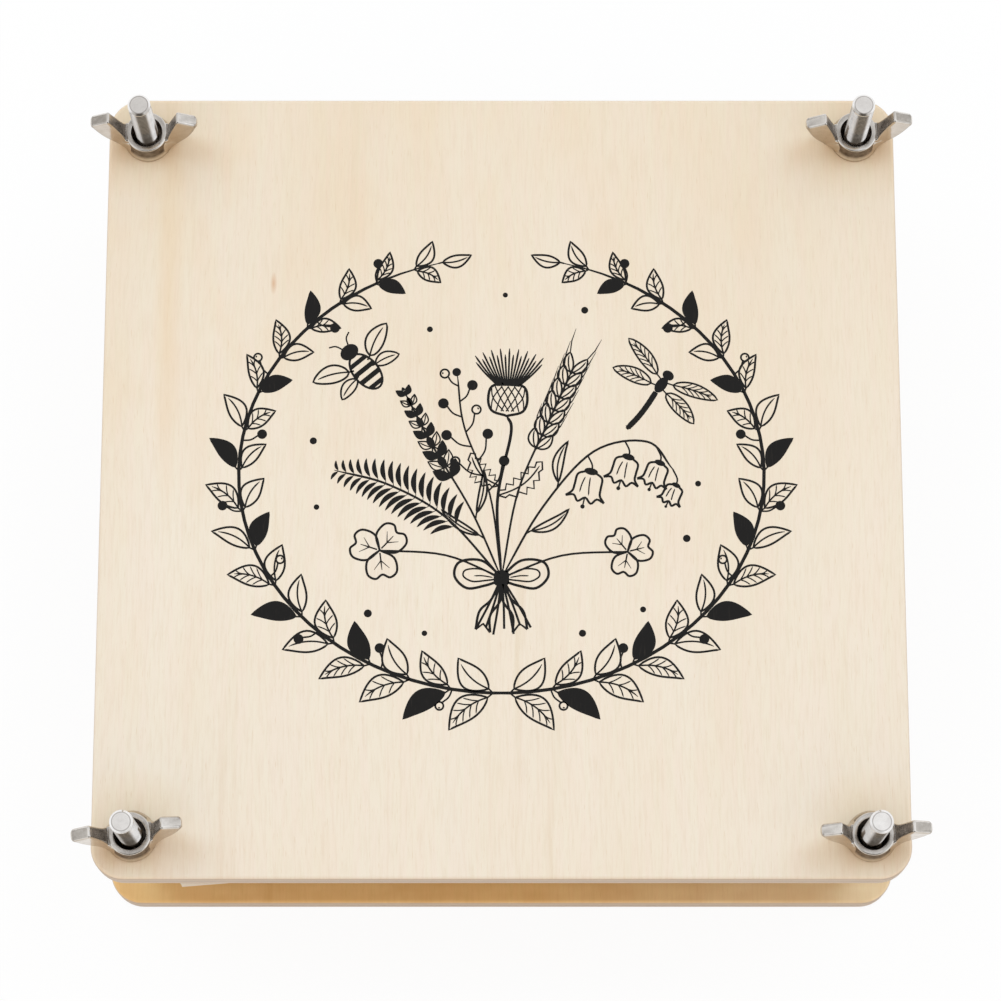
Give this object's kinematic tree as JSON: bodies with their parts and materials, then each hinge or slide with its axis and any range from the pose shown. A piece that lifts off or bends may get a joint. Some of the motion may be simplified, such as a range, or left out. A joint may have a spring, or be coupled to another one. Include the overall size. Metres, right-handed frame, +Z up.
{
  "type": "flower press",
  "caption": "Square wooden flower press: two boards clamped by corner bolts with wing nuts round a stack of cardboard and blotting paper.",
  "frame": {"origin": "middle of the bottom board's underside, on the surface that the press stands on", "axes": "+Z up through the stack, +X to the right and -Y to the front, as the print on the top board reads"},
  "size_m": [0.2178, 0.2108, 0.0842],
  "materials": {
    "pale_wood": "sanded, unvarnished pale plywood with a printed line drawing",
    "shaded_wood": "sanded, unvarnished pale plywood",
    "bolt_steel": "bright zinc plated steel",
    "nut_steel": "tumbled bright steel",
    "corrugated_card": "matt brown kraft",
    "blotting_paper": "matt uncoated white"
  },
  "bodies": {
    "base": {"bottom_board": "shaded_wood", "bolt_front_left": "bolt_steel", "bolt_front_right": "bolt_steel", "bolt_back_left": "bolt_steel", "bolt_back_right": "bolt_steel", "cardboard_sheet_1": "corrugated_card", "blotting_paper_1_under": "blotting_paper"},
    "top_board": {"top_board": "pale_wood"},
    "wing_nut_front_left": {"wing_nut_front_left": "nut_steel"},
    "wing_nut_front_right": {"wing_nut_front_right": "nut_steel"},
    "wing_nut_back_left": {"wing_nut_back_left": "nut_steel"},
    "wing_nut_back_right": {"wing_nut_back_right": "nut_steel"},
    "layer_2": {"blotting_paper_1_over": "blotting_paper", "cardboard_sheet_2": "corrugated_card", "blotting_paper_2_under": "blotting_paper"},
    "layer_3": {"blotting_paper_2_over": "blotting_paper", "cardboard_sheet_3": "corrugated_card", "blotting_paper_3_under": "blotting_paper"},
    "layer_4": {"blotting_paper_3_over": "blotting_paper", "cardboard_sheet_4": "corrugated_card", "blotting_paper_4_under": "blotting_paper"},
    "layer_5": {"blotting_paper_4_over": "blotting_paper", "cardboard_sheet_5": "corrugated_card", "blotting_paper_5_under": "blotting_paper"},
    "layer_6": {"blotting_paper_5_over": "blotting_paper", "cardboard_sheet_6": "corrugated_card", "blotting_paper_6_under": "blotting_paper"},
    "layer_7": {"blotting_paper_6_over": "blotting_paper", "cardboard_sheet_7": "corrugated_card", "blotting_paper_7_under": "blotting_paper"},
    "layer_8": {"blotting_paper_7_over": "blotting_paper", "cardboard_sheet_8": "corrugated_card", "blotting_paper_8_under": "blotting_paper"},
    "layer_9": {"blotting_paper_8_over": "blotting_paper", "cardboard_sheet_9": "corrugated_card", "blotting_paper_9_under": "blotting_paper"},
    "layer_10": {"blotting_paper_9_over": "blotting_paper", "cardboard_sheet_10": "corrugated_card", "loose_top_sheet": "blotting_paper"}
  },
  "joints": [
    {"name": "board_lift", "type": "slide", "parent": "base", "child": "top_board", "axis": [0, 0, 1], "range_m": [0, 0.018]},
    {"name": "wing_nut_front_left_turn", "type": "hinge", "parent": "top_board", "child": "wing_nut_front_left", "pos_m": [-0.0945, -0.094, 0.0577], "axis": [0, 0, 1], "range_deg": [0, 6480]},
    {"name": "wing_nut_front_right_turn", "type": "hinge", "parent": "top_board", "child": "wing_nut_front_right", "pos_m": [0.0945, -0.094, 0.0577], "axis": [0, 0, 1], "range_deg": [0, 6480]},
    {"name": "wing_nut_back_left_turn", "type": "hinge", "parent": "top_board", "child": "wing_nut_back_left", "pos_m": [-0.0945, 0.094, 0.0577], "axis": [0, 0, 1], "range_deg": [0, 6480]},
    {"name": "wing_nut_back_right_turn", "type": "hinge", "parent": "top_board", "child": "wing_nut_back_right", "pos_m": [0.0945, 0.094, 0.0577], "axis": [0, 0, 1], "range_deg": [0, 6480]},
    {"name": "layer_2_lift", "type": "slide", "parent": "base", "child": "layer_2", "axis": [0, 0, 1], "range_m": [0, 0.002]},
    {"name": "layer_3_lift", "type": "slide", "parent": "base", "child": "layer_3", "axis": [0, 0, 1], "range_m": [0, 0.004]},
    {"name": "layer_4_lift", "type": "slide", "parent": "base", "child": "layer_4", "axis": [0, 0, 1], "range_m": [0, 0.006]},
    {"name": "layer_5_lift", "type": "slide", "parent": "base", "child": "layer_5", "axis": [0, 0, 1], "range_m": [0, 0.008]},
    {"name": "layer_6_lift", "type": "slide", "parent": "base", "child": "layer_6", "axis": [0, 0, 1], "range_m": [0, 0.01]},
    {"name": "layer_7_lift", "type": "slide", "parent": "base", "child": "layer_7", "axis": [0, 0, 1], "range_m": [0, 0.012]},
    {"name": "layer_8_lift", "type": "slide", "parent": "base", "child": "layer_8", "axis": [0, 0, 1], "range_m": [0, 0.014]},
    {"name": "layer_9_lift", "type": "slide", "parent": "base", "child": "layer_9", "axis": [0, 0, 1], "range_m": [0, 0.016]},
    {"name": "layer_10_lift", "type": "slide", "parent": "base", "child": "layer_10", "axis": [0, 0, 1], "range_m": [0, 0.018]}
  ],
  "couplings": [
    {"joint": "wing_nut_front_left_turn", "follows": "board_lift", "rad_per_m": 6283.2},
    {"joint": "wing_nut_front_right_turn", "follows": "board_lift", "rad_per_m": 6283.2},
    {"joint": "wing_nut_back_left_turn", "follows": "board_lift", "rad_per_m": 6283.2},
    {"joint": "wing_nut_back_right_turn", "follows": "board_lift", "rad_per_m": 6283.2},
    {"joint": "layer_2_lift", "follows": "board_lift", "ratio": 0.11111},
    {"joint": "layer_3_lift", "follows": "board_lift", "ratio": 0.22222},
    {"joint": "layer_4_lift", "follows": "board_lift", "ratio": 0.33333},
    {"joint": "layer_5_lift", "follows": "board_lift", "ratio": 0.44444},
    {"joint": "layer_6_lift", "follows": "board_lift", "ratio": 0.55556},
    {"joint": "layer_7_lift", "follows": "board_lift", "ratio": 0.66667},
    {"joint": "layer_8_lift", "follows": "board_lift", "ratio": 0.77778},
    {"joint": "layer_9_lift", "follows": "board_lift", "ratio": 0.88889},
    {"joint": "layer_10_lift", "follows": "board_lift", "ratio": 1}
  ]
}
